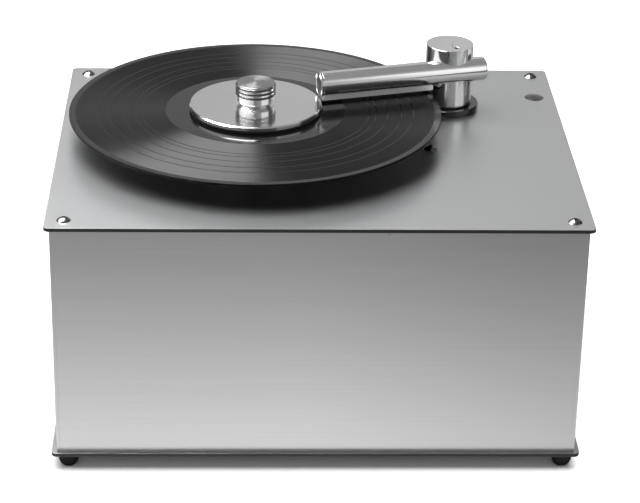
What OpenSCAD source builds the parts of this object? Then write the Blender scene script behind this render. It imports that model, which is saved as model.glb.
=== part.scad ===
// Record cleaning machine: a metal case, a label-sized record support with its drive,
// a drop-on record clamp, and a sprung suction arm that empties into a waste tank.
// Sizes are millimetres. X runs right, Y runs back and Z runs up from the floor.

/* [Case] */
// Width of the top and bottom plates
deck_w = 412; // [404:1:430]
// Depth of the top and bottom plates
deck_d = 329; // [322:1:345]
// Thickness of the top and bottom plates
deck_t = 3; // [2:0.5:5]
// Corner radius of the plates
deck_corner_r = 4.5; // [2:0.5:10]
// Height of the panels between the plates
body_h = 190; // [190:1:220]
// How far the panels stand back from the edges of the plates
panel_inset = 4; // [3:0.5:6]
// Thickness of the four panels
panel_t = 2.5; // [2:0.5:3]
// Height of the rubber feet
foot_h = 13; // [9:1:20]
// Radius of the rubber feet
foot_r = 8; // [6:0.5:10]
// Distance from a foot's axis to the plate's edges
foot_inset = 12.5; // [11:0.5:20]
// Side of the square corner posts
post_side = 16; // [12:1:20]

/* [Record support] */
// Spindle, right of the case's centre
spindle_x = -48; // [-52:1:-44]
// Spindle, behind the case's centre
spindle_y = 20; // [16:1:22]
// Radius of the record support
support_r = 50; // [44:1:54]
// Height of the record's underside over the deck
record_rise = 19; // [17:0.5:22]
// Radius of a twelve inch record
record_r = 150.5; // [149:0.5:151]
// Thickness of the record's rim and label area
record_t = 2; // [1.5:0.1:2.5]
// Diameter of the spindle where records sit
spindle_pin_d = 7.1; // [7:0.05:7.2]

/* [Clamp] */
// Radius of the clamp's disc
clamp_r = 53.5; // [50:0.5:53.5]
// Thickness of the clamp's disc
clamp_disc_t = 3.2; // [2.5:0.1:4]
// Thickness of the rubber seal under the disc
clamp_seal_t = 2.4; // [1.5:0.1:2.4]
// Radius of the grip rings on the knob
knob_r = 16.2; // [14:0.1:18]
// Number of grip rings on the knob
knob_rings = 3; // [2:1:3]

/* [Arm] */
// Arm column, right of the case's centre
column_x = 113.5; // [113:0.5:120]
// Arm column, behind the case's centre
column_y = 80; // [80:1:90]
// Radius of the arm column
column_r = 19.5; // [18.5:0.5:19.5]
// Height of the column's top over the deck
column_top = 56.2; // [54:0.1:60]
// Angle between the arm tube and the case's front
tube_angle = 15.5; // [14:0.1:17]
// Radius of the arm tube
tube_r = 10; // [9:0.1:10]
// How far the tube's axis lies in front of the column's axis
tube_offset = 12.4; // [12:0.1:14]
// Height of the tube's axis over the deck
tube_rise = 36.5; // [36.5:0.1:39]
// Length of the tube from the column's axis to the tip
tip_reach = 117.6; // [110:0.1:117.6]
// Length of the tube from the column's axis to the tail
tail_reach = 26.5; // [22:0.5:32]
// Gap between the velvet and the record when the arm floats on its spring
arm_gap = 1; // [0.9:0.1:1.4]

/* [Back and side] */
// How far the drain spout stands out behind the back panel
spout_out = 24; // [22:1:32]

/* [Hidden] */
$fn = 96;

// The record support, the clamp and the arm share these heights over the floor.
z_base = foot_h;
z_floor = z_base + deck_t;
z_ceiling = z_floor + body_h;
z_deck = z_ceiling + deck_t;
z_record = z_deck + record_rise;
z_clamp = z_record + record_t;
z_tube = z_deck + tube_rise;
z_velvet = z_clamp + arm_gap;
z_rail = z_velvet + 0.9;
z_column = z_deck + 6.2;

body_w = deck_w - 2 * panel_inset;
body_d = deck_d - 2 * panel_inset;
inner_w = body_w - 2 * panel_t;
inner_d = body_d - 2 * panel_t;
// The origin lies under the middle of the whole machine, spout and all.
case_y = (deck_d / 2 - (body_d / 2 + spout_out)) / 2;

post_x = (inner_w - post_side) / 2;
post_y = (inner_d - post_side) / 2;
corners = [for (sx = [-1, 1], sy = [-1, 1]) [sx, sy]];

// Button head screws that hold the deck
screw_head_r = 5.5;
screw_head_h = 2.8;
screw_r = 2;
// The studs of the feet start inside the rubber and end in the corner posts.
foot_stud_z = 5;
foot_stud_grip = 10;
// The fifth deck screw holds the post that stands on the tank's lid.
tank_post_at = [92.7, -10.6];
plug_at = [189.2, 101.2];
plug_r = 8.15;

// Drive under the record support
bearing_r = 14;
bearing_h = 38;
shaft_r = 4;
running_fit = 0.06;
drive_plate_z = 144;
drive_plate_t = 3;
drive_post_x = 32;
drive_post_y = 26;
gearbox_r = 18.5;
gearbox_h = 26;
platter_motor_h = 58;

// Suction arm below the deck
sleeve_r = 14;
sleeve_bore_r = 11;
sleeve_seat = 14;
guide_r = 20;
guide_flange_r = 28;
chamber_r = 17.5;
z_chamber = z_ceiling - 50;
z_nipple = z_chamber - 22;
nipple_h = 14;
// The seal stays round the sleeve when the arm is lifted.
z_seal = z_chamber - 5;
collar_z = z_ceiling - 31.3;
flange_r = 25.5;
flange_h = 5;
flange_screw_ring = 22;
flange_screw_angles = [-43, 77, 197];
// The set screw over the tube, along the tube and in front of the column's axis
set_screw_s = -1.5;
set_screw_n = 11;

// Waste tank and its two hose nipples
tank_size = [168, 172, 84];
tank_at = [100, 54];
tank_wall = 3;
z_tank = z_floor + 4;
z_lid = z_tank + tank_size[2];
nipple_r = 11.9;
lid_port_h = 13;
hose_seat = 6;
hose_wall = 2.9;
vacuum_port = [50, 110];

// Suction blower
blower_at = [-125, 88];
blower_r = 60;
blower_h = 42;
z_blower = 96;
blower_motor_r = 44;
z_blower_motor = 26;
impeller_r = 52;
hose_bend_r = 34;
z_hose = 184;

// Drain tap on the back panel
drain_at = [60, 31];
// How far the tap's lever turns behind the back panel
lever_out = 7;

// Switches on the right panel and mains inlet on the back panel
switch_z = 168;
motor_switch_y = -118;
vacuum_switch_y = -84;
inlet_at = [150, 165];
board_at = [-120, -95];

module at_case(p) translate([p[0], case_y + p[1], p[2]]) children();
module at_spindle(z) at_case([spindle_x, spindle_y, z]) children();
module at_column(z) at_case([column_x, column_y, z]) children();
// X runs from the column to the tube's tip, and Y to the front.
module in_arm_frame() at_column(0) rotate([0, 0, 180 + tube_angle]) children();
module along_tube(s) in_arm_frame() translate([s, tube_offset, z_tube]) rotate([0, 90, 0]) children();

module rounded_rect(w, d, r) {
    square([w - 2 * r, d], center = true);
    square([w, d - 2 * r], center = true);
    for (c = corners) translate([c[0] * (w / 2 - r), c[1] * (d / 2 - r)]) circle(r = r);
}

module plate(w, d, t, r) linear_extrude(height = t) rounded_rect(w, d, r);

module pipe(r_out, r_in, h) {
    difference() {
        cylinder(r = r_out, h = h);
        translate([0, 0, -1]) cylinder(r = r_in, h = h + 2);
    }
}

// A turned disc whose two edges are broken by a small chamfer
module turned_disc(r, h, c) {
    rotate_extrude()
        polygon([[0, 0], [r - c, 0], [r, c], [r, h - c], [r - c, h], [0, h]]);
}

// The cap of a sphere that is r wide and h high
module dome(r, h) {
    ball_r = (r * r + h * h) / (2 * h);
    intersection() {
        cylinder(r = r, h = h);
        translate([0, 0, h - ball_r]) sphere(r = ball_r, $fn = 180);
    }
}

// A button head screw with a hexagon socket, its head on the plane z = 0
module button_screw(head_r, head_h, r, length, socket) {
    difference() {
        union() {
            dome(head_r, head_h);
            translate([0, 0, -length]) cylinder(r = r, h = length);
        }
        translate([0, 0, head_h - socket * 0.7]) cylinder(r = socket, h = socket, $fn = 6);
    }
}

// A countersunk screw with a hexagon socket, its face on the plane z = 0
module countersunk_screw(head_r, r, length, socket) {
    sink = head_r - r;
    difference() {
        union() {
            translate([0, 0, -sink]) cylinder(r1 = r, r2 = head_r, h = sink);
            translate([0, 0, -length]) cylinder(r = r, h = length);
        }
        translate([0, 0, -sink]) cylinder(r = socket, h = sink + 1, $fn = 6);
    }
}

module countersink(head_r, r, depth) {
    sink = head_r - r;
    translate([0, 0, -sink]) cylinder(r1 = r, r2 = head_r, h = sink);
    translate([0, 0, -depth]) cylinder(r = r, h = depth);
}

module on_drive_posts() {
    for (c = corners) translate([c[0] * drive_post_x, c[1] * drive_post_y, 0]) children();
}

module on_flange_screws() {
    for (a = flange_screw_angles) rotate([0, 0, a]) translate([flange_screw_ring, 0, 0]) children();
}

module deck_plate() {
    color([0.74, 0.75, 0.75])
    difference() {
        at_case([0, 0, z_ceiling]) plate(deck_w, deck_d, deck_t, deck_corner_r);
        for (c = corners)
            at_case([c[0] * post_x, c[1] * post_y, z_ceiling - 1]) cylinder(r = screw_r + 0.3, h = deck_t + 2);
        at_case([tank_post_at[0], tank_post_at[1], z_ceiling - 1]) cylinder(r = screw_r + 0.3, h = deck_t + 2);
        at_case([plug_at[0], plug_at[1], z_ceiling - 1]) cylinder(r = 6, h = deck_t + 2);
        at_spindle(z_ceiling - 1) cylinder(r = 12.3, h = deck_t + 2);
        at_spindle(z_deck) on_drive_posts() countersink(4, screw_r + 0.1, deck_t + 1);
        at_column(z_ceiling - 1) cylinder(r = sleeve_r + 1, h = deck_t + 2);
        at_column(z_ceiling - 1) on_flange_screws() cylinder(r = 1.7, h = deck_t + 2);
    }
}

module base_plate() {
    color([0.72, 0.73, 0.73])
    difference() {
        at_case([0, 0, z_base]) plate(deck_w, deck_d, deck_t, deck_corner_r);
        on_feet(z_base - 1) cylinder(r = screw_r, h = deck_t + 2);
        // Air inlets under the blower's motor
        for (i = [-4:4])
            at_case([blower_at[0] + i * 9, blower_at[1], z_base + deck_t / 2])
                cube([4, 56 - 6 * abs(i), deck_t + 2], center = true);
    }
}

module front_panel() {
    color([0.70, 0.70, 0.70])
    difference() {
        at_case([-inner_w / 2, -body_d / 2, z_floor]) cube([inner_w, panel_t, body_h]);
        // Pinhole close under the deck
        at_case([51.4, -body_d / 2 - 1, z_deck - 6.1]) rotate([-90, 0, 0]) cylinder(r = 0.5, h = panel_t + 2);
    }
}

module side_panel(side) {
    at_case([side * (body_w / 2 - panel_t / 2), 0, z_floor + body_h / 2])
        cube([panel_t, body_d, body_h], center = true);
}

module left_panel() {
    color([0.66, 0.66, 0.66]) side_panel(-1);
}

module right_panel() {
    color([0.66, 0.66, 0.66])
    difference() {
        side_panel(1);
        for (y = [motor_switch_y, vacuum_switch_y])
            at_case([body_w / 2, y, switch_z]) cube([20, 13, 27], center = true);
    }
}

module back_panel() {
    color([0.66, 0.66, 0.66])
    difference() {
        at_case([-inner_w / 2, body_d / 2 - panel_t, z_floor]) cube([inner_w, panel_t, body_h]);
        on_back(inlet_at) cube([28, 21, 20], center = true);
        for (sx = [-1, 1])
            on_back([inlet_at[0] + sx * 20, inlet_at[1]]) cylinder(r = 1.5, h = 20, center = true);
        on_back(drain_at) cylinder(r = 7.2, h = 20, center = true);
        // Two rows of exhaust slots with round ends behind the blower
        for (i = [0:9], row = [0, 1])
            on_back([blower_at[0] - 49.5 + 11 * i, 58 + 50 * row]) exhaust_slot();
    }
}

module exhaust_slot() {
    cube([4, 34, 20], center = true);
    for (s = [-1, 1]) translate([0, s * 17, 0]) cylinder(r = 2, h = 20, center = true);
}

// Puts a shape on the back panel's outer face: X runs right, Y up and Z forwards into the case.
module on_back(p) at_case([p[0], body_d / 2, p[1]]) rotate([90, 0, 0]) children();

module corner_posts() {
    color([0.78, 0.78, 0.78])
    difference() {
        for (c = corners) at_case([c[0] * post_x, c[1] * post_y, z_floor])
            linear_extrude(height = body_h) post_section();
        for (c = corners) at_case([c[0] * post_x, c[1] * post_y, z_ceiling - 20])
            cylinder(r = screw_r, h = 21);
        on_feet(z_floor - 1) cylinder(r = screw_r, h = foot_stud_grip + 3);
    }
}

// A square extrusion with a slot in each face
module post_section() {
    difference() {
        square(post_side, center = true);
        for (a = [0:90:270]) rotate(a) translate([post_side / 2 - 1.5, 0]) square([4, 5], center = true);
    }
}

module deck_screws() {
    color([0.85, 0.85, 0.86]) {
        for (c = corners) at_case([c[0] * post_x, c[1] * post_y, z_deck])
            button_screw(screw_head_r, screw_head_h, screw_r, 14, 1.9);
        at_case([tank_post_at[0], tank_post_at[1], z_deck])
            button_screw(screw_head_r, screw_head_h, screw_r, 10, 1.9);
    }
}

module on_feet(z) {
    for (c = corners)
        at_case([c[0] * (deck_w / 2 - foot_inset), c[1] * (deck_d / 2 - foot_inset), z]) children();
}

// Half-round rubber feet with a small flat to stand on
module feet() {
    flat_r = 3.4;
    dome_h = 8;
    color([0.10, 0.10, 0.10])
    on_feet(0) difference() {
        rotate_extrude() polygon(concat(
            [[0, 0]],
            [for (t = [0:9:90]) [flat_r + (foot_r - flat_r) * sin(t), dome_h * (1 - cos(t))]],
            [[foot_r, foot_h], [0, foot_h]]
        ));
        translate([0, 0, foot_stud_z]) cylinder(r = screw_r, h = foot_h);
        translate([0, 0, foot_stud_z]) cylinder(r = 2 * screw_r, h = 1.5);
    }
}

// Each stud has a head moulded into its foot, and screws through the base plate into a post.
module foot_screws() {
    color([0.80, 0.80, 0.80])
    on_feet(foot_stud_z) {
        cylinder(r = 2 * screw_r, h = 1.5);
        cylinder(r = screw_r, h = z_floor + foot_stud_grip - foot_stud_z);
    }
}

module deck_plug() {
    color([0.80, 0.80, 0.80])
    at_case([plug_at[0], plug_at[1], z_deck]) {
        dome(plug_r, 1.6);
        translate([0, 0, -6]) cylinder(r = 5.9, h = 6);
    }
}

module platter_bearing() {
    color([0.62, 0.63, 0.64])
    at_spindle(0) difference() {
        union() {
            translate([0, 0, z_ceiling - bearing_h]) cylinder(r = bearing_r, h = bearing_h);
            translate([0, 0, z_ceiling - 5]) cylinder(r = 24, h = 5);
            translate([0, 0, z_ceiling]) cylinder(r = 12, h = 4.5);
        }
        translate([0, 0, z_ceiling - bearing_h - 1]) cylinder(r = shaft_r + 1, h = bearing_h + 7);
        translate([0, 0, z_ceiling - bearing_h - 1]) cylinder(r = 8, h = 13);
        translate([0, 0, z_ceiling - 7.5]) cylinder(r = 8, h = 13);
    }
}

module bearing_bushes() {
    color([0.72, 0.55, 0.30])
    at_spindle(0) {
        translate([0, 0, z_ceiling - bearing_h]) pipe(8, shaft_r + running_fit, 12);
        translate([0, 0, z_ceiling - 7.5]) pipe(8, shaft_r + running_fit, 12);
    }
}

module motor_plate() {
    color([0.60, 0.61, 0.62])
    at_spindle(drive_plate_z) difference() {
        plate(84, 70, drive_plate_t, 6);
        translate([0, 0, -1]) cylinder(r = 6.5, h = drive_plate_t + 2);
        on_drive_posts() translate([0, 0, -1]) cylinder(r = screw_r, h = drive_plate_t + 2);
        for (a = [0:90:270]) rotate([0, 0, a]) translate([0, 14, -1]) cylinder(r = 1.5, h = drive_plate_t + 2);
    }
}

module motor_posts() {
    z_foot = drive_plate_z + drive_plate_t;
    color([0.75, 0.76, 0.77])
    at_spindle(z_foot) on_drive_posts() difference() {
        cylinder(r = 4.5, h = z_ceiling - z_foot, $fn = 6);
        translate([0, 0, -1]) cylinder(r = screw_r, h = 11);
        translate([0, 0, z_ceiling - z_foot - 10]) cylinder(r = screw_r, h = 11);
    }
}

module motor_screws() {
    color([0.55, 0.56, 0.57]) {
        at_spindle(z_deck) on_drive_posts() countersunk_screw(4, screw_r, 11, 1.4);
        at_spindle(drive_plate_z) on_drive_posts() rotate([180, 0, 0])
            button_screw(3.8, 2, screw_r, 10, 1.3);
        at_spindle(drive_plate_z + drive_plate_t)
            for (a = [0:90:270]) rotate([0, 0, a]) translate([0, 14, 0])
                button_screw(2.8, 1.7, 1.5, 7, 1.1);
    }
}

module gearbox() {
    color([0.70, 0.71, 0.72])
    at_spindle(drive_plate_z - gearbox_h) difference() {
        union() {
            turned_disc(gearbox_r, gearbox_h, 0.8);
            translate([0, 0, gearbox_h]) cylinder(r = 6, h = 2.4);
        }
        translate([0, 0, gearbox_h - 14]) cylinder(r = 3 + running_fit, h = 20);
        for (a = [0:90:270]) rotate([0, 0, a]) translate([0, 14, gearbox_h - 6]) cylinder(r = 1.5, h = 7);
    }
}

module platter_motor() {
    z_motor = drive_plate_z - gearbox_h - platter_motor_h;
    color([0.42, 0.43, 0.45])
    at_spindle(z_motor) {
        turned_disc(17.5, platter_motor_h, 1.2);
        translate([0, 0, -2.5]) cylinder(r = 6, h = 2.5);
        for (s = [-1, 1]) translate([s * 12, 0, -5]) cube([1, 3.2, 10], center = true);
    }
}

module output_shaft() {
    color([0.82, 0.82, 0.83])
    at_spindle(drive_plate_z - 11) cylinder(r = 3, h = 24);
}

module shaft_coupling() {
    color([0.66, 0.67, 0.69])
    at_spindle(149.5) difference() {
        turned_disc(9.5, 17, 0.6);
        translate([0, 0, -1]) cylinder(r = 3, h = 9);
        translate([0, 0, 9]) cylinder(r = shaft_r, h = 9);
        // Clamping slits at the two ends
        translate([5, 0, 2]) cube([10, 1.2, 8.1], center = true);
        translate([5, 0, 15]) cube([10, 1.2, 8.1], center = true);
    }
}

// The drive shaft and, above the support, the pin that centres the record
module spindle() {
    pin_r = spindle_pin_d / 2;
    pin_top = z_clamp + 13;
    color([0.84, 0.84, 0.85])
    at_spindle(158.5) {
        cylinder(r = shaft_r, h = z_record - 2 - 158.5);
        cylinder(r = pin_r, h = pin_top - 158.5);
        translate([0, 0, pin_top - 158.5]) dome(pin_r, 2);
    }
}

module platter() {
    hub_z = z_deck + 3;
    hub_h = z_record - 1.5 - hub_z;
    color([0.72, 0.73, 0.74])
    at_spindle(hub_z) difference() {
        turned_disc(support_r, hub_h, 1);
        // Bore on the shaft, then on the record pin
        translate([0, 0, -1]) cylinder(r = shaft_r, h = hub_h + 0.5);
        translate([0, 0, -1]) cylinder(r = spindle_pin_d / 2, h = hub_h + 2);
        translate([0, 0, -1]) cylinder(r = 15, h = 3.2);
        // Step that lets the rim of the support slim down under the record
        translate([0, 0, -1]) difference() {
            cylinder(r = support_r + 1, h = 6);
            cylinder(r = support_r - 12, h = 6);
        }
    }
}

module platter_mat() {
    color([0.12, 0.12, 0.12])
    at_spindle(z_record - 1.5) difference() {
        pipe(support_r - 1, 14, 1.5);
        for (r = [22, 30, 38]) translate([0, 0, 1]) pipe(r + 1, r, 1);
    }
}

// A plain record: a raised rim and label area, and a groove area a little lower
module record() {
    rim_w = 3.5;
    label_r = 50;
    sink = 0.2;
    color([0.16, 0.16, 0.17])
    at_spindle(z_record) rotate_extrude($fn = 240)
        polygon([
            [spindle_pin_d / 2 + 0.05, 0], [label_r, 0], [label_r + 2, sink],
            [record_r - rim_w, sink], [record_r - rim_w + 1, 0], [record_r - 0.5, 0],
            [record_r, 0.5], [record_r, record_t - 0.5], [record_r - 0.5, record_t],
            [record_r - rim_w + 1, record_t], [record_r - rim_w, record_t - sink],
            [label_r + 2, record_t - sink], [label_r, record_t],
            [spindle_pin_d / 2 + 0.05, record_t]
        ]);
}

module clamp_seal() {
    color([0.08, 0.08, 0.08])
    at_spindle(z_clamp) pipe(clamp_r - 0.7, clamp_r - 9, clamp_seal_t);
}

module clamp_disc() {
    color([0.80, 0.80, 0.80])
    at_spindle(z_clamp + clamp_seal_t) difference() {
        turned_disc(clamp_r, clamp_disc_t, 0.4);
        translate([0, 0, -1]) cylinder(r = 6, h = clamp_disc_t + 2);
    }
}

// The grip is turned from one bar: a cone, a straight core, grip rings and a domed top.
module clamp_knob() {
    foot_r = 12.6;
    cone_h = 3;
    core_r = knob_r - 0.8;
    core_h = 17.9;
    ring_h = 1.7;
    ring_pitch = 3.45;
    ring_z = 7.9;
    color([0.82, 0.82, 0.82])
    at_spindle(z_clamp + clamp_seal_t + clamp_disc_t) difference() {
        union() {
            cylinder(r1 = foot_r, r2 = core_r, h = cone_h);
            translate([0, 0, cone_h]) cylinder(r = core_r, h = core_h - cone_h);
            for (i = [0:knob_rings - 1])
                translate([0, 0, ring_z + i * ring_pitch]) turned_disc(knob_r, ring_h, 0.45);
            translate([0, 0, core_h]) dome(core_r - 0.4, 0.9);
            // Spigot through the disc
            translate([0, 0, -clamp_disc_t]) cylinder(r = 6, h = clamp_disc_t);
        }
        // Blind bore over the record pin
        translate([0, 0, -clamp_disc_t - 1]) cylinder(r = spindle_pin_d / 2 + 0.1, h = 15);
    }
}

module arm_flange() {
    color([0.07, 0.07, 0.07])
    at_column(z_deck) difference() {
        turned_disc(flange_r, flange_h, 0.5);
        translate([0, 0, -1]) cylinder(r = sleeve_r + 0.4, h = flange_h + 2);
        translate([0, 0, flange_h]) on_flange_screws() countersink(2.4, 1.5, flange_h + 1);
    }
}

module flange_screws() {
    color([0.80, 0.80, 0.80])
    at_column(z_deck + flange_h) on_flange_screws()
        countersunk_screw(2.4, 1.5, z_deck + flange_h - z_ceiling + 5, 0.9);
}

// The fixed barrel under the deck. Its upper part holds the spring, its narrow lower part
// guides and seals the sleeve, and its nipple carries the suction hose.
module arm_guide() {
    color([0.16, 0.16, 0.17])
    at_column(0) difference() {
        union() {
            translate([0, 0, z_ceiling - 6]) cylinder(r = guide_flange_r, h = 6);
            translate([0, 0, z_nipple]) cylinder(r = guide_r, h = z_ceiling - z_nipple);
            translate([0, 0, z_nipple - nipple_h]) cylinder(r = nipple_r, h = nipple_h + 1);
        }
        translate([0, 0, z_chamber]) cylinder(r = chamber_r, h = z_ceiling - z_chamber + 1);
        translate([0, 0, z_nipple + 3]) cylinder(r = sleeve_r + running_fit, h = z_chamber - z_nipple);
        translate([0, 0, z_nipple - nipple_h - 1]) cylinder(r = 9, h = nipple_h + 5);
        translate([0, 0, z_seal - 1.1]) cylinder(r = 15.9, h = 2.2);
        translate([0, 0, z_ceiling - 5]) on_flange_screws() cylinder(r = 1.5, h = 6);
    }
}

module guide_bush() {
    color([0.72, 0.55, 0.30])
    at_column(z_ceiling - 20) pipe(chamber_r, sleeve_r + running_fit, 20);
}

module arm_seal() {
    color([0.10, 0.10, 0.10])
    at_column(z_seal) rotate_extrude() translate([15.02, 0]) circle(r = 0.85, $fn = 24);
}

// The lift spring is one helical wire between the chamber's floor and the thrust washer.
spring_wire_r = 0.8;
spring_mean_r = 15.8;
spring_turns = 4;
spring_z0 = z_chamber + 0.1 + spring_wire_r;
spring_z1 = collar_z - 2.3 - spring_wire_r;
spring_sides = 8;
spring_steps = 24 * spring_turns;
function spring_point(i) =
    let (a = 360 * i / 24)
    [spring_mean_r * cos(a), spring_mean_r * sin(a), spring_z0 + (spring_z1 - spring_z0) * i / spring_steps];
function spring_ring(i) =
    let (p = spring_point(i), a = 360 * i / 24)
    [for (k = [0:spring_sides - 1])
        let (b = 360 * k / spring_sides)
        p + spring_wire_r * [cos(b) * cos(a), cos(b) * sin(a), sin(b)]];
spring_gap = min([for (i = [0:spring_steps - 24]) norm(spring_point(i + 24) - spring_point(i))])
    - 2 * spring_wire_r;

module lift_spring() {
    rings = [for (i = [0:spring_steps]) each spring_ring(i)];
    last = spring_steps * spring_sides;
    echo(spring_least_gap_mm = spring_gap);
    color([0.75, 0.76, 0.77])
    at_column(0) polyhedron(
        points = rings,
        faces = concat(
            [[for (k = [0:spring_sides - 1]) k]],
            [[for (k = [spring_sides - 1:-1:0]) last + k]],
            [for (i = [0:spring_steps - 1], k = [0:spring_sides - 1], half = [0, 1])
                let (
                    a = i * spring_sides + k,
                    b = i * spring_sides + (k + 1) % spring_sides
                )
                half == 0 ? [b, a, a + spring_sides] : [b, a + spring_sides, b + spring_sides]]
        )
    );
}

module thrust_washer() {
    color([0.85, 0.85, 0.82])
    at_column(collar_z - 2.2) pipe(17, sleeve_r + 0.3, 2);
}

// The sleeve turns on the thrust washer, and slides in the guide with it.
module arm_sleeve() {
    color([0.80, 0.80, 0.81])
    at_column(0) difference() {
        union() {
            translate([0, 0, z_nipple + 4.5]) cylinder(r = sleeve_r, h = z_column + sleeve_seat - z_nipple - 4.5);
            translate([0, 0, collar_z]) cylinder(r = 17.2, h = 3);
        }
        translate([0, 0, z_nipple]) cylinder(r = sleeve_bore_r, h = z_column + 16 - z_nipple);
    }
}

module arm_column() {
    column_h = column_top - 6.2;
    color([0.82, 0.82, 0.82])
    difference() {
        at_column(z_column) turned_disc(column_r, column_h, 0.5);
        // Saddle for the tube
        along_tube(-40) cylinder(r = tube_r, h = 80);
        // Seat of the sleeve, and the riser up to the tube's port
        at_column(z_column - 1) cylinder(r = sleeve_r, h = sleeve_seat + 1);
        at_column(z_column) cylinder(r = 8, h = z_tube + 4 - z_column);
        in_arm_frame() translate([set_screw_s, set_screw_n, z_tube]) cylinder(r = 3, h = 40);
    }
}

module arm_set_screw() {
    screw_z = z_tube + tube_r + 0.1;
    color([0.55, 0.55, 0.56])
    in_arm_frame() translate([set_screw_s, set_screw_n, screw_z]) difference() {
        turned_disc(3, z_deck + column_top - 0.5 - screw_z, 0.3);
        translate([0, 0, 4]) cylinder(r = 1.7, h = 10, $fn = 6);
    }
}

// The tube's tail is closed and its edge is rounded.
module arm_tube() {
    tail_round = 2;
    color([0.82, 0.82, 0.82])
    difference() {
        union() {
            along_tube(-tail_reach + tail_round) cylinder(r = tube_r, h = tip_reach - 2 + tail_reach - tail_round);
            along_tube(-tail_reach) cylinder(r = tube_r - tail_round, h = tail_round + 1);
            along_tube(-tail_reach + tail_round) rotate_extrude()
                translate([tube_r - tail_round, 0]) circle(r = tail_round);
        }
        along_tube(4 - tail_reach) cylinder(r = tube_r - 1.9, h = tip_reach + tail_reach);
        // Port in the tube's wall, over the column's riser
        in_arm_frame() translate([0, tube_offset, z_tube]) rotate([90, 0, 0]) cylinder(r = 5, h = tube_r + 1);
        // Slot over the nozzle
        in_arm_frame() translate([24, tube_offset - 1.5, z_tube - tube_r - 1]) cube([86, 3, 4]);
    }
}

// A turned end plug with a dished face and a fine ring groove
module tube_plug() {
    dish_r = 11;
    dish_depth = 3.2;
    color([0.75, 0.75, 0.75])
    difference() {
        union() {
            along_tube(tip_reach - 9) cylinder(r = tube_r - 1.9, h = 7);
            along_tube(tip_reach - 2) turned_disc(tube_r, 2, 0.4);
        }
        along_tube(tip_reach + dish_r - dish_depth) sphere(r = dish_r);
        along_tube(tip_reach - 0.3) pipe(8.7, 8.3, 1);
    }
}

module nozzle_rail() {
    rail_w = 8;
    color([0.76, 0.77, 0.77])
    difference() {
        in_arm_frame() translate([0, tube_offset + rail_w / 2, 0]) rotate([90, 0, 0])
            linear_extrude(height = rail_w)
                polygon([
                    [19.5, z_rail], [115.8, z_rail], [114.2, z_rail + 5],
                    [114.2, z_tube - 7], [19.5, z_tube - 7]
                ]);
        along_tube(0) cylinder(r = tube_r, h = 130);
        in_arm_frame() translate([24, tube_offset - 1.2, z_rail - 1]) cube([86, 2.4, 10]);
    }
}

module velvet_strips() {
    color([0.05, 0.05, 0.06])
    in_arm_frame() for (n = [-3.9, 1.3])
        translate([21, tube_offset + n, z_velvet]) cube([93, 2.6, z_rail - z_velvet]);
}

module waste_tank() {
    w = tank_size[0];
    d = tank_size[1];
    color([0.86, 0.86, 0.84])
    difference() {
        union() {
            at_case([tank_at[0], tank_at[1], z_tank]) plate(w, d, tank_size[2], 8);
            // Drain stub towards the back
            at_case([drain_at[0], tank_at[1] + d / 2 - 1, drain_at[1]])
                rotate([-90, 0, 0]) cylinder(r = 6, h = 5);
            // Feet that stand on the bottom plate
            for (c = corners)
                at_case([tank_at[0] + c[0] * (w / 2 - 14), tank_at[1] + c[1] * (d / 2 - 14), z_floor])
                    cylinder(r = 8, h = z_tank - z_floor);
        }
        at_case([tank_at[0], tank_at[1], z_tank + tank_wall])
            plate(w - 2 * tank_wall, d - 2 * tank_wall, tank_size[2], 5);
        at_case([drain_at[0], tank_at[1] + d / 2 - 10, drain_at[1]])
            rotate([-90, 0, 0]) cylinder(r = 4.2, h = 20);
    }
}

module tank_lid() {
    w = tank_size[0];
    d = tank_size[1];
    color([0.78, 0.78, 0.77])
    difference() {
        union() {
            at_case([tank_at[0], tank_at[1], z_lid]) plate(w + 4, d + 4, 4, 10);
            at_case([column_x, column_y, z_lid]) cylinder(r = nipple_r, h = lid_port_h);
            at_case([vacuum_port[0], vacuum_port[1], z_lid]) cylinder(r = nipple_r, h = lid_port_h);
            // Splash guard round the suction inlet
            at_case([column_x, column_y, z_lid - 30]) cylinder(r = nipple_r, h = 31);
            at_case([tank_post_at[0], tank_post_at[1], z_lid]) cylinder(r = 9, h = 8);
        }
        at_case([column_x, column_y, z_lid - 31]) cylinder(r = 9, h = 50);
        at_case([vacuum_port[0], vacuum_port[1], z_lid - 1]) cylinder(r = 9, h = 20);
        at_case([tank_post_at[0], tank_post_at[1], z_lid + 2]) cylinder(r = 5, h = 8, $fn = 6);
    }
}

// A hexagonal post that holds the lid down from the deck
module tank_post() {
    color([0.75, 0.76, 0.77])
    at_case([tank_post_at[0], tank_post_at[1], z_lid + 2]) difference() {
        cylinder(r = 5, h = z_ceiling - z_lid - 2, $fn = 6);
        translate([0, 0, z_ceiling - z_lid - 12]) cylinder(r = screw_r, h = 11);
    }
}

module suction_hose() {
    color([0.14, 0.14, 0.15])
    at_column(z_lid + hose_seat) pipe(nipple_r + hose_wall, nipple_r, z_nipple - 2 - z_lid - hose_seat);
}

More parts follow.
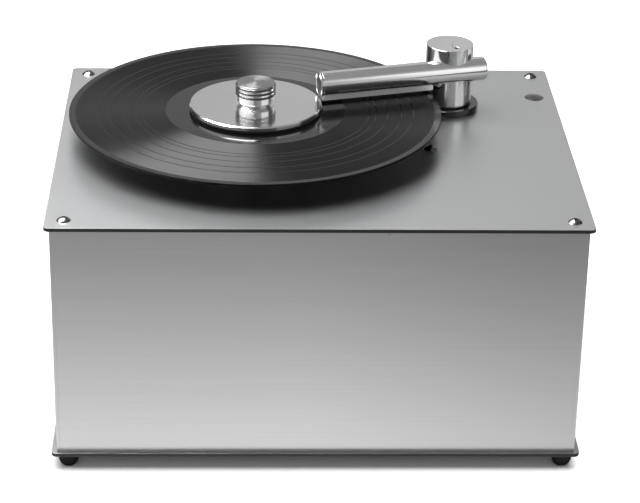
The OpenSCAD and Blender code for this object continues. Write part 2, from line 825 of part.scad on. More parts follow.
// From the lid's port straight up, over in two quarter bends, and down on the blower.
// over lengthens both ends, so that the bore runs out of the wall.
module hose_run(r, over) {
    span = norm(vacuum_port - blower_at);
    rise = z_hose - hose_bend_r;
    z_start = z_lid + hose_seat - over;
    z_end = z_blower + blower_h + 3 - over;
    heading = atan2(blower_at[1] - vacuum_port[1], blower_at[0] - vacuum_port[0]);
    at_case([vacuum_port[0], vacuum_port[1], 0]) rotate([0, 0, heading]) {
        translate([0, 0, z_start]) cylinder(r = r, h = rise - z_start);
        translate([hose_bend_r, 0, rise]) rotate([90, 0, 0]) mirror([1, 0, 0])
            rotate_extrude(angle = 90) translate([hose_bend_r, 0]) circle(r = r);
        translate([hose_bend_r, 0, rise + hose_bend_r]) rotate([0, 90, 0])
            cylinder(r = r, h = span - 2 * hose_bend_r);
        translate([span - hose_bend_r, 0, rise]) rotate([90, 0, 0])
            rotate_extrude(angle = 90) translate([hose_bend_r, 0]) circle(r = r);
        translate([span, 0, z_end]) cylinder(r = r, h = rise - z_end);
    }
}

module vacuum_hose() {
    color([0.14, 0.14, 0.15])
    difference() {
        hose_run(nipple_r + hose_wall, 0);
        hose_run(nipple_r, 1);
    }
}

module at_blower(z) at_case([blower_at[0], blower_at[1], z]) children();

module blower_housing() {
    color([0.80, 0.81, 0.82])
    at_blower(z_blower) difference() {
        union() {
            turned_disc(blower_r, blower_h, 2);
            translate([0, 0, blower_h]) cylinder(r = nipple_r, h = 12);
        }
        translate([0, 0, 4]) cylinder(r = blower_r - 3, h = blower_h - 8);
        translate([0, 0, blower_h - 5]) cylinder(r = 9.5, h = 20);
        translate([0, 0, -1]) cylinder(r = 14, h = 8);
        // Exhaust windows round the rim
        for (a = [0:30:330]) rotate([0, 0, a]) translate([blower_r, 0, 15]) cube([16, 14, 12], center = true);
    }
}

// Backward-leaning blades between a floor disc and a ring, on the motor's shaft
module blower_impeller() {
    blades = 9;
    blade_h = 22;
    sheet_t = 1.5;
    color([0.72, 0.73, 0.75])
    at_blower(z_blower + 7) {
        cylinder(r = impeller_r, h = sheet_t);
        translate([0, 0, -18]) cylinder(r = 4, h = 30);
        cylinder(r = 9, h = 14);
        for (i = [0:blades - 1]) rotate([0, 0, 360 * i / blades]) translate([0, 0, sheet_t / 2])
            linear_extrude(height = blade_h - sheet_t) impeller_blade();
        translate([0, 0, blade_h - sheet_t]) pipe(impeller_r, 22, sheet_t);
    }
}

// An arc of sheet that leaves the eye of the impeller and leans back to its rim
module impeller_blade() {
    bend_r = 40;
    blade_t = 1.4;
    intersection() {
        difference() {
            circle(r = impeller_r - 1.5);
            circle(r = 15);
        }
        translate([22, bend_r - 6]) difference() {
            circle(r = bend_r + blade_t / 2);
            circle(r = bend_r - blade_t / 2);
        }
        translate([10, -30]) square([50, 60]);
    }
}

module blower_motor() {
    h = z_blower - z_blower_motor;
    color([0.35, 0.36, 0.38])
    at_blower(z_blower_motor) difference() {
        union() {
            turned_disc(blower_motor_r, 10, 1.5);
            translate([0, 0, 10]) cylinder(r = blower_motor_r - 6, h = h - 10);
            // Brush holders
            for (s = [-1, 1]) translate([s * (blower_motor_r - 6), 0, 26]) cube([14, 12, 12], center = true);
        }
        translate([0, 0, h - 15]) cylinder(r = 4.4, h = 20);
        // Cooling slots in the can
        for (a = [15:30:345]) rotate([0, 0, a])
            translate([blower_motor_r - 6, 0, h - 16]) cube([6, 7, 16], center = true);
    }
}

module blower_mounts() {
    color([0.10, 0.10, 0.10])
    for (a = [30, 150, 270]) at_blower(z_floor) rotate([0, 0, a]) translate([32, 0, 0]) {
        cylinder(r = 8, h = 3);
        translate([0, 0, 3]) cylinder(r = 6, h = 4);
        translate([0, 0, 7]) cylinder(r = 8, h = z_blower_motor - z_floor - 7);
    }
}

// The drain tap passes through the back panel: a tail with a nut inside, and outside
// a hexagonal flange, the tap's body and a plain spout for a hose.
module drain_valve() {
    bore_r = 4.2;
    color([0.70, 0.58, 0.34])
    on_back(drain_at) difference() {
        union() {
            translate([0, 0, -2]) cylinder(r = 11, h = 2, $fn = 6);
            translate([0, 0, -spout_out + 12]) cylinder(r = 8, h = spout_out - 14);
            translate([0, 0, -spout_out]) cylinder(r1 = 5.2, r2 = 6, h = 1);
            translate([0, 0, -spout_out + 1]) cylinder(r = 6, h = 12);
            cylinder(r = 7, h = 6);
            translate([0, 0, panel_t]) cylinder(r = 10, h = 3, $fn = 6);
            cylinder(r = 6, h = 12);
            // Neck that carries the lever
            translate([0, 0, -lever_out]) rotate([-90, 0, 0]) cylinder(r = 4.5, h = 10.5);
        }
        translate([0, 0, -spout_out - 1]) cylinder(r = bore_r, h = spout_out + 20);
        translate([0, 0, -lever_out]) rotate([-90, 0, 0]) cylinder(r = 2.5 + running_fit, h = 12);
    }
}

// Closed, the lever lies across the spout. Its stem drops into the tap's neck.
module drain_lever() {
    color([0.75, 0.12, 0.10])
    on_back(drain_at) translate([0, 0, -lever_out]) rotate([-90, 0, 0]) {
        translate([0, 0, 4.8]) cylinder(r = 2.5, h = 6.5);
        translate([0, 0, 10.8]) difference() {
            union() {
                turned_disc(5.5, 3, 0.4);
                translate([0, -3.5, 0]) cube([22, 7, 3]);
                translate([22, 0, 0]) turned_disc(3.5, 3, 0.4);
            }
            translate([22, 0, -1]) cylinder(r = 1.5, h = 5);
        }
    }
}

module drain_sleeve() {
    color([0.12, 0.12, 0.12])
    at_case([drain_at[0], tank_at[1] + tank_size[1] / 2 + 1, drain_at[1]])
        rotate([-90, 0, 0]) pipe(8, 6, inner_d / 2 - tank_at[1] - tank_size[1] / 2 - 5);
}

module mains_inlet() {
    color([0.07, 0.07, 0.08])
    on_back(inlet_at) difference() {
        union() {
            translate([0, 0, -2]) linear_extrude(height = 2) inlet_flange();
            linear_extrude(height = 24) square([27.6, 20.6], center = true);
        }
        translate([0, 0, -3]) linear_extrude(height = 20) inlet_socket();
        for (s = [-1, 1]) translate([s * 20, 0, -3]) cylinder(r = 1.5, h = 4);
    }
    color([0.80, 0.78, 0.70])
    on_back(inlet_at) for (p = [[-7, -2], [0, 3], [7, -2]])
        translate([p[0], p[1], 11.5]) cube([2, 4, 13], center = true);
    color([0.60, 0.60, 0.60])
    on_back(inlet_at) for (s = [-1, 1]) translate([s * 20, 0, -2]) rotate([180, 0, 0])
        button_screw(2.8, 1.6, 1.5, 8, 1.1);
}

module inlet_flange() {
    rounded_rect(30, 27, 3);
    rounded_rect(50, 12, 5.5);
}

// The socket's outline has its two upper corners cut off.
module inlet_socket() {
    polygon([[-12, -8.2], [12, -8.2], [12, 4], [8, 8.2], [-8, 8.2], [-12, 4]]);
}

module power_board() {
    color([0.10, 0.36, 0.20])
    at_case([board_at[0], board_at[1], z_floor]) {
        for (c = corners) translate([c[0] * 45, c[1] * 30, 0]) cylinder(r = 3, h = 8);
        translate([0, 0, 8]) plate(104, 72, 1.6, 2);
    }
    color([0.85, 0.75, 0.25])
    at_case([board_at[0] - 24, board_at[1], z_floor + 9.6]) {
        translate([0, 0, 15]) cube([36, 42, 30], center = true);
        translate([0, 0, 15]) cube([24, 50, 22], center = true);
    }
    color([0.15, 0.16, 0.20])
    at_case([board_at[0], board_at[1], z_floor + 9.6]) {
        for (y = [-20, 2]) translate([10, y, 0]) turned_disc(8, 26, 1);
        translate([34, 14, 8]) cube([20, 16, 16], center = true);
        translate([36, -18, 6]) cube([12, 30, 12], center = true);
        translate([10, 24, 7]) cube([20, 10, 14], center = true);
    }
}

// Puts a shape on the right panel's outer face: X runs back, Y up and Z out of the case.
module on_right(y) at_case([body_w / 2, y, switch_z]) rotate([90, 0, 90]) children();

rocker_r = 11.3;
rocker_axis = -5;

module switch_frame(y) {
    color([0.06, 0.06, 0.06])
    on_right(y) difference() {
        union() {
            linear_extrude(height = 1.6) rounded_rect(15.4, 30, 1.5);
            translate([0, 0, -22]) linear_extrude(height = 23) square([12.6, 26.6], center = true);
            // Two blade terminals
            for (s = [-1, 1]) translate([0, s * 6, -26]) cube([5, 0.8, 9], center = true);
        }
        // Round pocket in which the rocker tips
        translate([0, 0, rocker_axis]) rotate([0, 90, 0]) cylinder(r = rocker_r + 0.3, h = 11, center = true);
        translate([0, 0, 6]) cube([11, 2 * rocker_r + 0.6, 20], center = true);
    }
}

// A rocker whose ends are arcs about its axis and whose face dips in the middle
module rocker(y, tilt, tone) {
    face = 7.6;
    dip = 2;
    color(tone)
    on_right(y) translate([0, 0, rocker_axis]) rotate([tilt, 0, 0]) rotate([90, 0, 90])
        linear_extrude(height = 10.4, center = true)
            intersection() {
                circle(r = rocker_r);
                polygon([
                    [-12, -5], [12, -5], [12, face], [0, face - dip], [-12, face]
                ]);
            }
}

module motor_switch() switch_frame(motor_switch_y);
module vacuum_switch() switch_frame(vacuum_switch_y);
module motor_rocker() rocker(motor_switch_y, 0, [0.12, 0.12, 0.12]);
module vacuum_rocker() rocker(vacuum_switch_y, 10, [0.12, 0.12, 0.12]);

deck_plate();
base_plate();
front_panel();
back_panel();
left_panel();
right_panel();
corner_posts();
deck_screws();
feet();
foot_screws();
deck_plug();
platter_bearing();
bearing_bushes();
motor_plate();
motor_posts();
motor_screws();
gearbox();
platter_motor();
output_shaft();
shaft_coupling();
spindle();
platter();
platter_mat();
record();
clamp_disc();
clamp_knob();
clamp_seal();
arm_flange();
flange_screws();
arm_guide();
guide_bush();
arm_seal();
lift_spring();
thrust_washer();
arm_sleeve();
arm_column();
arm_set_screw();
arm_tube();
tube_plug();
nozzle_rail();
velvet_strips();
waste_tank();
tank_lid();
tank_post();
suction_hose();
vacuum_hose();
blower_housing();
blower_impeller();
blower_motor();
blower_mounts();
drain_valve();
drain_lever();
drain_sleeve();
mains_inlet();
power_board();
motor_switch();
motor_rocker();
vacuum_switch();
vacuum_rocker();
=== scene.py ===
import math

import bpy
import numpy as np
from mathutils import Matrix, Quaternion, Vector


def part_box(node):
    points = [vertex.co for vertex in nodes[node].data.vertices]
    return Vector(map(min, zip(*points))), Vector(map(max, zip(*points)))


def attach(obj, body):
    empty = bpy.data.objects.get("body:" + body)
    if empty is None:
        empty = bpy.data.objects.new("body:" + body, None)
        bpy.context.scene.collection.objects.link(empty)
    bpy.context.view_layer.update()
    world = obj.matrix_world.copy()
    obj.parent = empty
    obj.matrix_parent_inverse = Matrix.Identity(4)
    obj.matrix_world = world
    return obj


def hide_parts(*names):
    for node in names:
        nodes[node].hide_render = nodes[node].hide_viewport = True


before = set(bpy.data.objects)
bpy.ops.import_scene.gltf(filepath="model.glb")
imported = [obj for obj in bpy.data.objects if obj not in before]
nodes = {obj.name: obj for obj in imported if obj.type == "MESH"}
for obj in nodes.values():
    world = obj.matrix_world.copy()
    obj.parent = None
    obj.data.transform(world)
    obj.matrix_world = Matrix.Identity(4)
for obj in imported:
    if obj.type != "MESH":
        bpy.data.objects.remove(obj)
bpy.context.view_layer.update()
mm = 0.001
print("loaded the frame:", len(nodes), "nodes")

# Camera at the photograph's place
cameraSettings = {
    "place": (-0.05805, -1.69447, 0.92267),
    "aim": (0.03415, 0.90047, -0.43358),
    "rollDegrees": 1.126,
    "lens": 127.35,
    "sensorWidth": 36.0,
    "clip": (0.05, 60.0),
}


def makeCamera(settings):
    data = bpy.data.cameras.new("camera")
    data.lens = settings["lens"]
    data.sensor_width = settings["sensorWidth"]
    data.clip_start, data.clip_end = settings["clip"]
    camera = bpy.data.objects.new("camera", data)
    bpy.context.scene.collection.objects.link(camera)
    camera.location = settings["place"]
    camera.rotation_mode = "QUATERNION"
    level = Vector(settings["aim"]).to_track_quat("-Z", "Y")
    roll = Quaternion((0, 0, 1), math.radians(settings["rollDegrees"]))
    camera.rotation_quaternion = level @ roll
    bpy.context.scene.camera = camera


makeCamera(cameraSettings)
print("camera made")


# Places that the pieces are built around, read from the frame
def middleOf(node):
    low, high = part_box(node)
    return (low + high) / 2


recordMiddle = middleOf("record")
columnMiddle = middleOf("arm_flange")
deckLow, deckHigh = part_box("deck_plate")
baseLow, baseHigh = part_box("base_plate")


# Node trees: small helpers, so that each material reads as a list of steps
class Steps:
    def __init__(self, tree):
        self.tree = tree

    def add(self, kind, inputs=None, **values):
        node = self.tree.nodes.new(kind)
        for name, value in values.items():
            setattr(node, name, value)
        for name, value in (inputs or {}).items():
            self.feed(node.inputs[name], value)
        return node

    def feed(self, socket, value):
        if isinstance(value, bpy.types.NodeSocket):
            self.tree.links.new(value, socket)
        else:
            socket.default_value = value

    def place(self):
        return self.add("ShaderNodeTexCoord").outputs["Object"]

    def mapped(self, vector, scale=(1, 1, 1), turn=(0, 0, 0), move=(0, 0, 0)):
        return self.add(
            "ShaderNodeMapping",
            {"Vector": vector, "Scale": scale, "Rotation": turn, "Location": move},
        ).outputs["Vector"]

    def noise(self, vector, scale, detail=3.0, roughness=0.6):
        return self.add(
            "ShaderNodeTexNoise",
            {"Vector": vector, "Scale": scale, "Detail": detail, "Roughness": roughness},
        ).outputs["Fac"]

    def math(self, operation, a, b=0.5, c=0.5):
        node = self.add("ShaderNodeMath", operation=operation)
        for socket, value in zip(node.inputs, (a, b, c)):
            self.feed(socket, value)
        return node.outputs[0]

    def vector(self, operation, *vectors):
        node = self.add("ShaderNodeVectorMath", operation=operation)
        for socket, value in zip(node.inputs, vectors):
            self.feed(socket, value)
        return node.outputs[0]

    def spread(self, value, low, high, fromLow=0.3, fromHigh=0.7):
        ends = {"From Min": fromLow, "From Max": fromHigh, "To Min": low, "To Max": high}
        return self.add("ShaderNodeMapRange", {"Value": value, **ends}).outputs["Result"]

    def mixColour(self, share, a, b):
        # A Mix node has its sockets once for each kind of data. Those for colours are 6, 7 and the output 2.
        node = self.add("ShaderNodeMix", data_type="RGBA")
        self.feed(node.inputs[0], share)
        self.feed(node.inputs[6], a)
        self.feed(node.inputs[7], b)
        return node.outputs[2]

    # Both ends of a spread as shares of one shade or roughness
    def shades(self, tone, shade, ends, warm=0.0, reach=(0.3, 0.7)):
        low, high = ends
        share = self.spread(tone, 0, 1, *reach)
        return self.mixColour(share, grey(shade * low, warm), grey(shade * high, warm))

    def glosses(self, tone, roughness, ends, reach=(0.3, 0.7)):
        low, high = ends
        return self.spread(tone, roughness * low, roughness * high, *reach)

    def blend(self, first, second, shares):
        return self.math("MULTIPLY_ADD", first, shares[0], self.math("MULTIPLY", second, shares[1]))

    def bump(self, height, strength, distance):
        inputs = {"Height": height, "Strength": strength, "Distance": distance}
        return self.add("ShaderNodeBump", inputs).outputs["Normal"]

    def split(self, vector):
        node = self.add("ShaderNodeSeparateXYZ", {"Vector": vector})
        return node.outputs["X"], node.outputs["Y"], node.outputs["Z"]

    def finish(self, **inputs):
        shader = self.add("ShaderNodeBsdfPrincipled")
        for name, value in inputs.items():
            self.feed(shader.inputs[socketNames.get(name, name)], value)
        out = self.add("ShaderNodeOutputMaterial")
        self.tree.links.new(shader.outputs[0], out.inputs[0])


socketNames = {
    "baseColor": "Base Color",
    "metallic": "Metallic",
    "roughness": "Roughness",
    "normal": "Normal",
    "anisotropic": "Anisotropic",
    "tangent": "Tangent",
    "specular": "Specular IOR Level",
    "coat": "Coat Weight",
}


def newMaterial(name):
    material = bpy.data.materials.new(name)
    material.use_nodes = True
    material.node_tree.nodes.clear()
    return material, Steps(material.node_tree)


def grey(value, warm=0.0):
    return (value * (1 + warm), value, value * (1 - warm), 1.0)


# Tool lines: the stretched highlight of turned, brushed or drawn metal runs across them
def acrossLines(steps, lines):
    turned = steps.add(
        "ShaderNodeVectorTransform", {"Vector": lines},
        vector_type="VECTOR", convert_from="OBJECT", convert_to="WORLD",
    )
    normal = steps.add("ShaderNodeNewGeometry").outputs["Normal"]
    across = steps.vector("CROSS_PRODUCT", turned.outputs[0], normal)
    return steps.vector("NORMALIZE", across)


def turnedTangent(steps, centre):
    arm = steps.vector("SUBTRACT", steps.place(), centre)
    return acrossLines(steps, steps.vector("CROSS_PRODUCT", (0, 0, 1), arm))


def drawnTangent(steps, direction):
    constant = steps.add("ShaderNodeCombineXYZ", dict(zip("XYZ", direction)))
    return acrossLines(steps, constant.outputs[0])


# Distance from an upright axis
def radiusFrom(steps, centre):
    x, y, _ = steps.split(steps.mapped(steps.place(), move=(-centre[0], -centre[1], 0)))
    squares = steps.math("ADD", steps.math("MULTIPLY", x, x), steps.math("MULTIPLY", y, y))
    return steps.math("SQRT", squares)


# Sheet metal with fine brush lines: noise drawn out along the brushing, in colour, gloss and relief
brushSettings = {
    "tones": (0.97, 1.03), "glosses": (0.95, 1.05), "aniso": 0.5, "relief": 0.12, "depth": 0.000002,
}


def brushedSheet(name, shade, roughness, scale, lines):
    settings = brushSettings
    material, steps = newMaterial(name)
    tone = steps.noise(steps.mapped(steps.place(), scale), 1.0)
    steps.finish(
        baseColor=steps.shades(tone, shade, settings["tones"]),
        metallic=1.0,
        roughness=steps.glosses(tone, roughness, settings["glosses"]),
        anisotropic=settings["aniso"],
        tangent=drawnTangent(steps, lines),
        normal=steps.bump(tone, settings["relief"], settings["depth"]),
    )
    return material


# Composite sheet: two metal skins on a black core, told apart by height
plateSettings = {
    "skin": 0.15, "skinScale": (40, 1500, 1500), "skinTones": (0.98, 1.02), "skinWarmths": (-0.008, -0.012),
    "skinGlosses": (0.96, 1.04), "coreScale": (1800, 1800, 60), "coreTones": (0.002, 0.008),
    "coreDullness": 0.22, "relief": 0.08, "depth": 0.000002,
}


def compositePlate(name, shade, roughness, low, high):
    settings = plateSettings
    material, steps = newMaterial(name)
    place = steps.place()
    height, skin = steps.split(place)[2], settings["skin"] * mm
    belowTop = steps.math("LESS_THAN", height, high - skin)
    overBottom = steps.math("GREATER_THAN", height, low + skin)
    core = steps.math("MULTIPLY", belowTop, overBottom)
    fine = steps.noise(steps.mapped(place, settings["skinScale"]), 1.0)
    saw = steps.noise(steps.mapped(place, settings["coreScale"]), 1.0, 2.0, 0.5)
    skinEnds = [grey(shade * t, w) for t, w in zip(settings["skinTones"], settings["skinWarmths"])]
    skinColour = steps.mixColour(steps.spread(fine, 0, 1), *skinEnds)
    coreColour = steps.mixColour(saw, *(grey(t) for t in settings["coreTones"]))
    skinRoughness = steps.glosses(fine, roughness, settings["skinGlosses"])
    steps.finish(
        baseColor=steps.mixColour(core, skinColour, coreColour),
        metallic=steps.math("SUBTRACT", 1.0, core),
        roughness=steps.math("MULTIPLY_ADD", core, settings["coreDullness"], skinRoughness),
        normal=steps.bump(steps.mixColour(core, fine, saw), settings["relief"], settings["depth"]),
    )
    return material


# Turned metal: fine rings about an upright axis through the given point
ringSettings = {
    "scale": (1600, 1600, 1), "broadScale": 40.0, "shares": (0.7, 0.3),
    "tones": (0.96, 1.03), "glosses": (0.85, 1.15), "depth": 0.000005,
}


def turnedMetal(name, shade, roughness, centre, aniso, relief):
    settings = ringSettings
    material, steps = newMaterial(name)
    place = steps.place()
    height = steps.split(place)[2]
    ringPlace = steps.add("ShaderNodeCombineXYZ", {"X": radiusFrom(steps, centre), "Y": height})
    rings = steps.noise(steps.mapped(ringPlace.outputs[0], settings["scale"]), 1.0, 3.0, 0.7)
    broad = steps.noise(place, settings["broadScale"], 2.0, 0.5)
    tone = steps.blend(rings, broad, settings["shares"])
    steps.finish(
        baseColor=steps.shades(tone, shade, settings["tones"]),
        metallic=1.0,
        roughness=steps.glosses(tone, roughness, settings["glosses"]),
        anisotropic=aniso,
        tangent=turnedTangent(steps, centre),
        normal=steps.bump(rings, relief, settings["depth"]),
    )
    return material


# Drawn or cast metal, with faint lines along one axis where the stretch is uneven
streakSettings = {"blotchScale": 30.0, "shares": (0.8, 0.2), "tones": (0.94, 1.05), "glosses": (0.9, 1.1)}


def drawnMetal(
    name, shade, roughness, stretch, turn=(0, 0, 0), relief=0.1, warm=0.0, metal=1.0, depth=0.00001,
    aniso=0.0, lines=None,
):
    settings = streakSettings
    material, steps = newMaterial(name)
    place = steps.place()
    streaks = steps.noise(steps.mapped(steps.mapped(place, turn=turn), stretch), 1.0)
    blotches = steps.noise(place, settings["blotchScale"])
    tone = steps.blend(streaks, blotches, settings["shares"])
    steps.finish(
        baseColor=steps.shades(tone, shade, settings["tones"], warm),
        metallic=metal,
        roughness=steps.glosses(tone, roughness, settings["glosses"]),
        normal=steps.bump(streaks, relief, depth),
        **({"anisotropic": aniso, "tangent": drawnTangent(steps, lines)} if lines else {}),
    )
    return material


# Moulded plastic and rubber: a fine grain with slow changes of tone and gloss
mouldSettings = {"slowScale": 35.0, "tones": (0.82, 1.18), "lift": 0.002, "glosses": (0.88, 1.12)}


def mouldedPlastic(
    name, colour, roughness, grain=2500.0, relief=0.25, coat=0.0, depth=0.00004, level=0.5,
):
    material, steps = newMaterial(name)
    place = steps.place()
    fine = steps.noise(place, grain, 2.0, 0.5)
    slow = steps.noise(place, mouldSettings["slowScale"])
    lowTone, highTone = mouldSettings["tones"]
    lowGloss, highGloss = mouldSettings["glosses"]
    dark = tuple(c * lowTone for c in colour) + (1.0,)
    light = tuple(min(1.0, c * highTone + mouldSettings["lift"]) for c in colour) + (1.0,)
    steps.finish(
        baseColor=steps.mixColour(steps.spread(slow, 0, 1), dark, light),
        roughness=steps.spread(slow, roughness * lowGloss, min(1.0, roughness * highGloss)),
        normal=steps.bump(fine, relief, depth),
        coat=coat,
        specular=level,
    )
    return material


# Vinyl: rings of tone about the spindle, a highlight stretched across the grooves, and glossier gaps between
# the tracks
vinylSettings = {
    "fineScale": (2600, 1, 1), "slowScale": (160, 1, 1), "shares": (0.45, 0.55), "reach": (0.35, 0.65),
    "tones": (0.7, 1.3), "warmth": -0.05, "glosses": (0.86, 1.14), "relief": 0.15, "depth": 0.000004,
}
trackGaps = {"radii": (92.5, 98.0, 107.5, 118.5, 128.0), "halfWidth": 0.45, "roughness": 0.12}


def vinyl(name, shade, roughness, aniso, level, centre, gaps=None):
    settings = vinylSettings
    material, steps = newMaterial(name)
    radius = radiusFrom(steps, centre)
    ringPlace = steps.add("ShaderNodeCombineXYZ", {"X": radius}).outputs[0]
    fine = steps.noise(steps.mapped(ringPlace, settings["fineScale"]), 1.0, 2.0, 0.7)
    slow = steps.noise(steps.mapped(ringPlace, settings["slowScale"]), 1.0)
    tone = steps.blend(fine, slow, settings["shares"])
    gloss = steps.glosses(tone, roughness, settings["glosses"], settings["reach"])
    if gaps:
        inGap = 0.0
        for gapRadius in gaps["radii"]:
            near = steps.math("COMPARE", radius, gapRadius * mm, gaps["halfWidth"] * mm)
            inGap = steps.math("MAXIMUM", inGap, near)
        gloss = steps.math("MULTIPLY_ADD", inGap, gaps["roughness"] - roughness, gloss)
    steps.finish(
        baseColor=steps.shades(tone, shade, settings["tones"], settings["warmth"], settings["reach"]),
        roughness=gloss,
        anisotropic=aniso,
        tangent=turnedTangent(steps, centre),
        specular=level,
        normal=steps.bump(fine, settings["relief"], settings["depth"]),
    )
    return material


knobCentre = (recordMiddle.x, recordMiddle.y, 0)
columnCentre = (columnMiddle.x, columnMiddle.y, 0)
armTurn = math.radians(-15.5)
armLine = (math.cos(-armTurn), math.sin(-armTurn), 0)

materials = {
    "deckSheet": compositePlate("deckSheet", 0.50, 0.30, deckLow.z, deckHigh.z),
    # Painted shade: the base plate is the same composite sheet as the deck, drawn darker
    "baseSheetPaintedShade": compositePlate("baseSheetPaintedShade", 0.36, 0.32, baseLow.z, baseHigh.z),
    "frontSheet": brushedSheet("frontSheet", 0.64, 0.30, (9, 9, 1600), (1, 0.01, 0.01)),
    "sideSheet": brushedSheet("sideSheet", 0.64, 0.30, (9, 9, 1600), (0.01, 1, 0.01)),
    "postAluminium": drawnMetal("postAluminium", 0.62, 0.35, (1200, 1200, 12)),
    "machinedAluminium": drawnMetal("machinedAluminium", 0.66, 0.28, (500, 500, 900)),
    "turnedFace": turnedMetal("turnedFace", 0.74, 0.13, knobCentre, 0.3, 0.05),
    "turnedBar": turnedMetal("turnedBar", 0.78, 0.18, knobCentre, 0.5, 0.03),
    # Painted shade: the knob's grip rings are the same polished aluminium as the bar, drawn near black to stand
    # for their dark reflections
    "paintedShadeRing": turnedMetal("paintedShadeRing", 0.07, 0.30, knobCentre, 0.3, 0.03),
    # Painted shade: the knob's crown is the same turned aluminium as the bar, drawn darker
    "paintedShadeCrown": turnedMetal("paintedShadeCrown", 0.32, 0.26, knobCentre, 0.75, 0.05),
    "turnedColumn": turnedMetal("turnedColumn", 0.79, 0.13, columnCentre, 0.0, 0.02),
    "polishedTube": drawnMetal(
        "polishedTube", 0.76, 0.16, (30, 900, 900), (0, 0, armTurn), 0.02,
        depth=0.000004, aniso=0.3, lines=armLine,
    ),
    "plugMetal": drawnMetal("plugMetal", 0.62, 0.12, (600, 600, 600), relief=0.02, depth=0.000004),
    "railAluminium": drawnMetal(
        "railAluminium", 0.72, 0.34, (12, 1500, 1500), (0, 0, armTurn), 0.06,
        metal=0.72, depth=0.000004, aniso=0.75, lines=armLine,
    ),
    "zincSteel": drawnMetal("zincSteel", 0.55, 0.32, (300, 300, 300), warm=0.01),
    "chrome": drawnMetal("chrome", 0.14, 0.24, (250, 250, 250), relief=0.03),
    "bronze": drawnMetal("bronze", 0.40, 0.38, (900, 900, 900), relief=0.3, warm=0.35),
    "brass": drawnMetal("brass", 0.55, 0.25, (700, 700, 200), relief=0.2, warm=0.25),
    "motorCan": drawnMetal("motorCan", 0.10, 0.42, (60, 60, 900), relief=0.3, metal=0.8),
    "blowerSteel": drawnMetal("blowerSteel", 0.52, 0.36, (90, 90, 300)),
    "blackRubber": mouldedPlastic("blackRubber", (0.007, 0.007, 0.0075), 0.72, 1800.0, level=0.25),
    "glossBlack": mouldedPlastic("glossBlack", (0.003, 0.003, 0.0035), 0.14, 900.0, 0.04, 0.3),
    "blackPlastic": mouldedPlastic("blackPlastic", (0.014, 0.014, 0.015), 0.48, 2600.0),
    "rockerPlastic": mouldedPlastic("rockerPlastic", (0.012, 0.012, 0.012), 0.24, 2600.0, 0.08),
    "whitePlastic": mouldedPlastic("whitePlastic", (0.72, 0.72, 0.68), 0.42),
    "tankPlastic": mouldedPlastic("tankPlastic", (0.66, 0.66, 0.62), 0.38, 900.0, 0.15),
    "redLever": mouldedPlastic("redLever", (0.42, 0.02, 0.015), 0.30, 1500.0, 0.12, 0.3),
    "boardGreen": mouldedPlastic("boardGreen", (0.03, 0.15, 0.06), 0.35, 400.0, 0.1, 0.3),
    "velvet": mouldedPlastic("velvet", (0.006, 0.006, 0.007), 0.95, 5200.0, 0.9, depth=0.0003),
    "labelPaper": mouldedPlastic("labelPaper", (0.006, 0.006, 0.006), 0.3, 1200.0, 0.1),
    "groovedVinyl": vinyl("groovedVinyl", 0.003, 0.40, 1.0, 0.26, knobCentre, trackGaps),
    "rimVinyl": mouldedPlastic("rimVinyl", (0.002, 0.002, 0.002), 0.35, 1500.0, 0.05, level=0.06),
    "smoothVinyl": vinyl("smoothVinyl", 0.003, 0.12, 0.0, 0.62, knobCentre),
}

finishOf = {
    "deck_plate": "deckSheet", "base_plate": "baseSheetPaintedShade", "front_panel": "frontSheet",
    "back_panel": "frontSheet", "left_panel": "sideSheet", "right_panel": "sideSheet",
    "corner_posts": "postAluminium", "deck_screws": "chrome", "feet": "blackRubber",
    "foot_screws": "zincSteel", "deck_plug": "chrome", "platter_bearing": "machinedAluminium",
    "bearing_bushes": "bronze", "motor_plate": "zincSteel", "motor_posts": "zincSteel",
    "motor_screws": "zincSteel", "gearbox": "zincSteel", "platter_motor": "motorCan",
    "output_shaft": "zincSteel", "shaft_coupling": "machinedAluminium", "spindle": "chrome",
    "platter": "machinedAluminium", "platter_mat": "blackRubber", "record": "smoothVinyl",
    "clamp_disc": "turnedFace", "clamp_knob": "turnedBar", "clamp_seal": "blackRubber",
    "arm_flange": "glossBlack", "flange_screws": "chrome", "arm_guide": "blackPlastic",
    "guide_bush": "bronze", "arm_seal": "blackRubber", "lift_spring": "zincSteel",
    "thrust_washer": "whitePlastic", "arm_sleeve": "machinedAluminium", "arm_column": "turnedColumn",
    "arm_set_screw": "zincSteel", "arm_tube": "polishedTube", "tube_plug": "plugMetal",
    "nozzle_rail": "railAluminium", "velvet_strips": "velvet", "waste_tank": "tankPlastic",
    "tank_lid": "tankPlastic", "tank_post": "zincSteel", "suction_hose": "blackRubber",
    "vacuum_hose": "blackRubber", "blower_housing": "blowerSteel", "blower_impeller": "machinedAluminium",
    "blower_motor": "motorCan", "blower_mounts": "blackRubber", "drain_valve": "brass",
    "drain_lever": "redLever", "drain_sleeve": "blackRubber", "mains_inlet": "blackPlastic",
    "power_board": "boardGreen", "motor_switch": "blackPlastic", "motor_rocker": "rockerPlastic",
    "vacuum_switch": "blackPlastic", "vacuum_rocker": "rockerPlastic",
}


def dress(piece, *finishes):
    piece.data.materials.clear()
    for finish in finishes:
        piece.data.materials.append(materials[finish])


for node, finish in finishOf.items():
    dress(nodes[node], finish)
print("materials made:", len(materials))


# Turned pieces: a profile in the plane of radius and height is carried round an axis
sharpAngle = math.radians(38)


